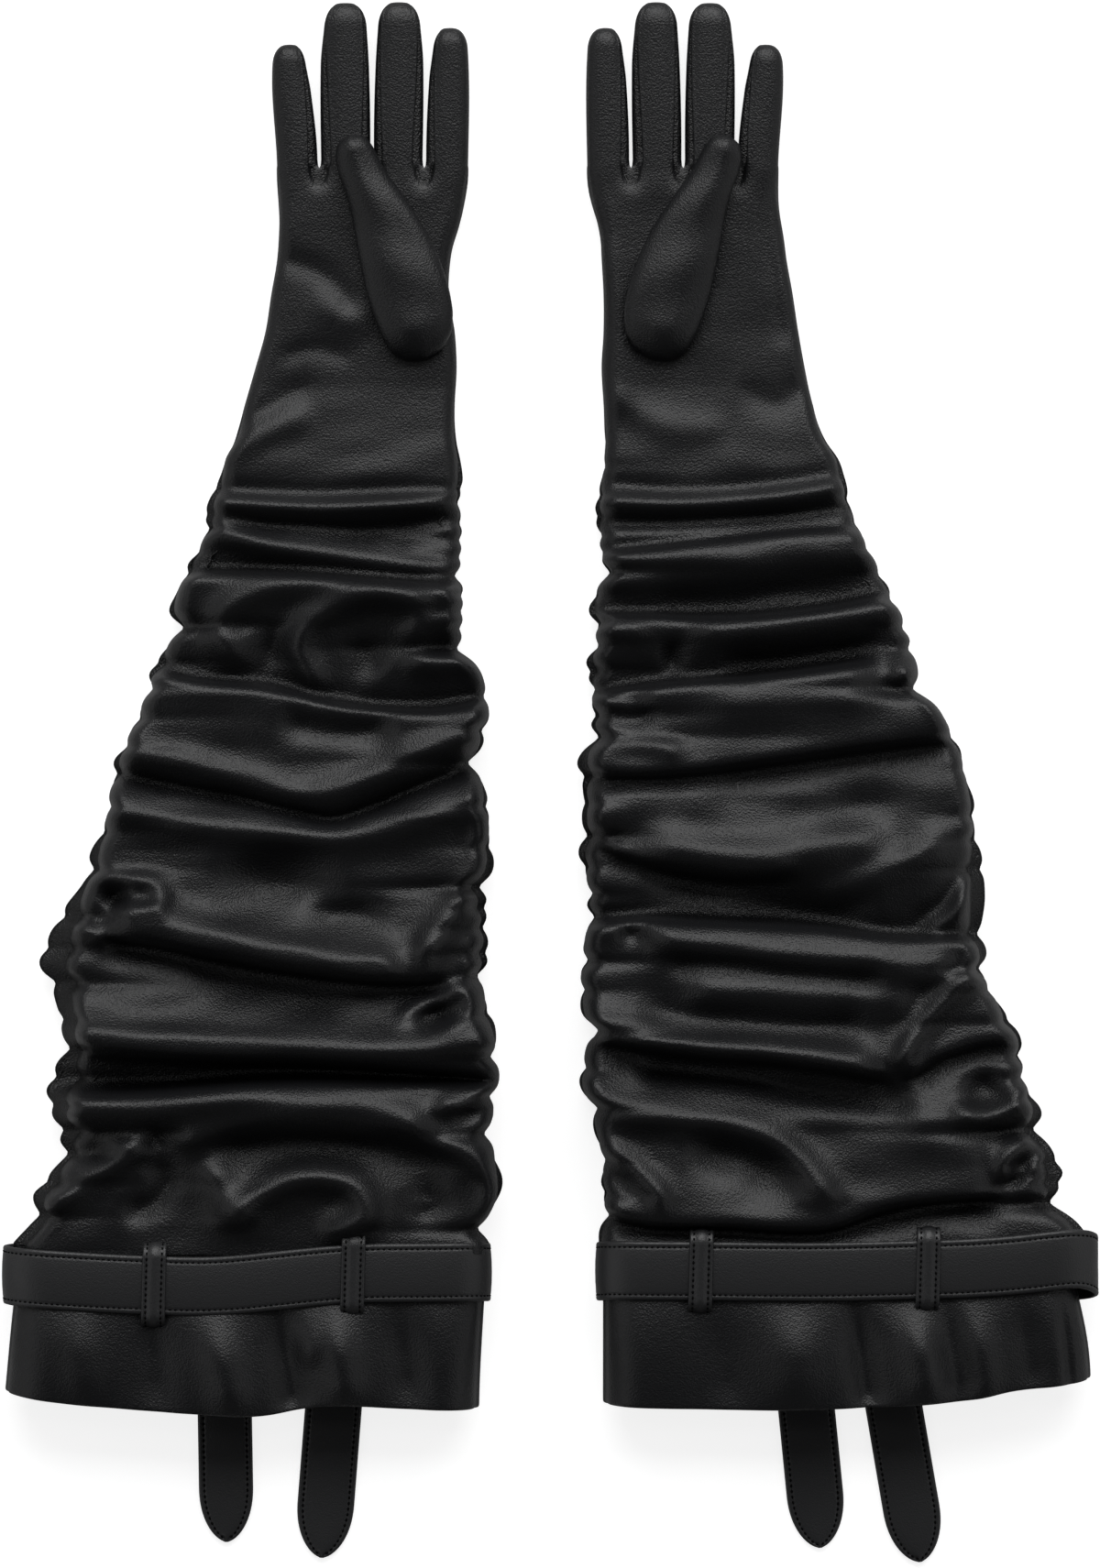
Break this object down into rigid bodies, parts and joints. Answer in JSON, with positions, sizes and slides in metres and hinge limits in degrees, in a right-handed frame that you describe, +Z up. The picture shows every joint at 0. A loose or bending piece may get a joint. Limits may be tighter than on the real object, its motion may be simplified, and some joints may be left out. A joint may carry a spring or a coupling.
{
  "type": "opera gloves",
  "caption": "Pair of long black leather-look opera gloves with gathered sleeves, flared cuffs and a knotted belt round each cuff.",
  "frame": {"origin": "on the floor under the middle of the pair's bounding box", "axes": "+Y towards the fingertips, +X from the right-hand glove to the left-hand glove, +Z up, out of the palms"},
  "size_m": [0.548, 0.7861, 0.046],
  "materials": {
    "glove_leather": "satin, fine pebbled grain",
    "belt_leather": "satin, fine pebbled grain, edge-stitched",
    "facing_fabric": "matt turned-in hem",
    "elastic_tape": "woven, matt"
  },
  "bodies": {
    "right_sleeve": {"right_forearm_front": "glove_leather", "right_forearm_back": "glove_leather", "right_sleeve_front": "glove_leather", "right_sleeve_back": "glove_leather", "right_cuff_front": "glove_leather", "right_cuff_back": "glove_leather", "right_hem_facing": "facing_fabric", "right_side_elastics": "elastic_tape", "right_belt": "belt_leather", "right_belt_knot": "belt_leather", "right_belt_loops": "belt_leather"},
    "right_hand": {"right_palm_front": "glove_leather", "right_hand_back": "glove_leather", "right_fourchettes": "glove_leather"},
    "right_index_end": {"right_index_tip_front": "glove_leather", "right_index_tip_back": "glove_leather", "right_index_tip_fourchettes": "glove_leather"},
    "right_middle_end": {"right_middle_tip_front": "glove_leather", "right_middle_tip_back": "glove_leather", "right_middle_tip_fourchettes": "glove_leather"},
    "right_ring_end": {"right_ring_tip_front": "glove_leather", "right_ring_tip_back": "glove_leather", "right_ring_tip_fourchettes": "glove_leather"},
    "right_little_end": {"right_little_tip_front": "glove_leather", "right_little_tip_back": "glove_leather", "right_little_tip_fourchettes": "glove_leather"},
    "right_thumb": {"right_thumb_front": "glove_leather", "right_thumb_back": "glove_leather"},
    "right_inner_tail": {"right_belt_tail_inner": "belt_leather"},
    "right_outer_tail": {"right_belt_tail_outer": "belt_leather"},
    "left_sleeve": {"left_forearm_front": "glove_leather", "left_forearm_back": "glove_leather", "left_sleeve_front": "glove_leather", "left_sleeve_back": "glove_leather", "left_cuff_front": "glove_leather", "left_cuff_back": "glove_leather", "left_hem_facing": "facing_fabric", "left_side_elastics": "elastic_tape", "left_belt": "belt_leather", "left_belt_knot": "belt_leather", "left_belt_loops": "belt_leather"},
    "left_hand": {"left_palm_front": "glove_leather", "left_hand_back": "glove_leather", "left_fourchettes": "glove_leather"},
    "left_index_end": {"left_index_tip_front": "glove_leather", "left_index_tip_back": "glove_leather", "left_index_tip_fourchettes": "glove_leather"},
    "left_middle_end": {"left_middle_tip_front": "glove_leather", "left_middle_tip_back": "glove_leather", "left_middle_tip_fourchettes": "glove_leather"},
    "left_ring_end": {"left_ring_tip_front": "glove_leather", "left_ring_tip_back": "glove_leather", "left_ring_tip_fourchettes": "glove_leather"},
    "left_little_end": {"left_little_tip_front": "glove_leather", "left_little_tip_back": "glove_leather", "left_little_tip_fourchettes": "glove_leather"},
    "left_thumb": {"left_thumb_front": "glove_leather", "left_thumb_back": "glove_leather"},
    "left_inner_tail": {"left_belt_tail_inner": "belt_leather"},
    "left_outer_tail": {"left_belt_tail_outer": "belt_leather"}
  },
  "joints": [
    {"name": "right_wrist", "type": "hinge", "parent": "right_sleeve", "child": "right_hand", "pos_m": [-0.0895, 0.198, 0.0162], "axis": [1, 0, 0], "range_deg": [0, 75]},
    {"name": "right_index_knuckle", "type": "hinge", "parent": "right_hand", "child": "right_index_end", "pos_m": [-0.0515, 0.342, 0.0162], "axis": [1, 0, 0], "range_deg": [0, 90]},
    {"name": "right_middle_knuckle", "type": "hinge", "parent": "right_hand", "child": "right_middle_end", "pos_m": [-0.0767, 0.347, 0.0162], "axis": [1, 0, 0], "range_deg": [0, 90]},
    {"name": "right_ring_knuckle", "type": "hinge", "parent": "right_hand", "child": "right_ring_end", "pos_m": [-0.1023, 0.346, 0.0162], "axis": [1, 0, 0], "range_deg": [0, 90]},
    {"name": "right_little_knuckle", "type": "hinge", "parent": "right_hand", "child": "right_little_end", "pos_m": [-0.1275, 0.336, 0.0162], "axis": [1, 0, 0], "range_deg": [0, 90]},
    {"name": "right_thumb_lift", "type": "hinge", "parent": "right_hand", "child": "right_thumb", "pos_m": [-0.06215, 0.21103, 0.0168], "axis": [0.9483, 0.3173, 0], "range_deg": [0, 55]},
    {"name": "right_inner_tail_swing", "type": "hinge", "parent": "right_sleeve", "child": "right_inner_tail", "pos_m": [-0.1035, -0.243, 0.0012], "axis": [0, 0, 1], "range_deg": [-2, 10]},
    {"name": "right_outer_tail_swing", "type": "hinge", "parent": "right_sleeve", "child": "right_outer_tail", "pos_m": [-0.1654, -0.243, 0.0012], "axis": [0, 0, 1], "range_deg": [-10, 2]},
    {"name": "left_glove_apart", "type": "slide", "parent": "right_sleeve", "child": "left_sleeve", "axis": [1, 0, 0], "range_m": [0, 0.2]},
    {"name": "left_wrist", "type": "hinge", "parent": "left_sleeve", "child": "left_hand", "pos_m": [0.067, 0.198, 0.0162], "axis": [1, 0, 0], "range_deg": [0, 75]},
    {"name": "left_index_knuckle", "type": "hinge", "parent": "left_hand", "child": "left_index_end", "pos_m": [0.029, 0.342, 0.0162], "axis": [1, 0, 0], "range_deg": [0, 90]},
    {"name": "left_middle_knuckle", "type": "hinge", "parent": "left_hand", "child": "left_middle_end", "pos_m": [0.0542, 0.347, 0.0162], "axis": [1, 0, 0], "range_deg": [0, 90]},
    {"name": "left_ring_knuckle", "type": "hinge", "parent": "left_hand", "child": "left_ring_end", "pos_m": [0.0798, 0.346, 0.0162], "axis": [1, 0, 0], "range_deg": [0, 90]},
    {"name": "left_little_knuckle", "type": "hinge", "parent": "left_hand", "child": "left_little_end", "pos_m": [0.105, 0.336, 0.0162], "axis": [1, 0, 0], "range_deg": [0, 90]},
    {"name": "left_thumb_lift", "type": "hinge", "parent": "left_hand", "child": "left_thumb", "pos_m": [0.05065, 0.21103, 0.0168], "axis": [0.9483, -0.3173, 0], "range_deg": [0, 55]},
    {"name": "left_inner_tail_swing", "type": "hinge", "parent": "left_sleeve", "child": "left_inner_tail", "pos_m": [0.122, -0.243, 0.0012], "axis": [0, 0, 1], "range_deg": [-10, 2]},
    {"name": "left_outer_tail_swing", "type": "hinge", "parent": "left_sleeve", "child": "left_outer_tail", "pos_m": [0.161, -0.243, 0.0012], "axis": [0, 0, 1], "range_deg": [-2, 10]}
  ]
}
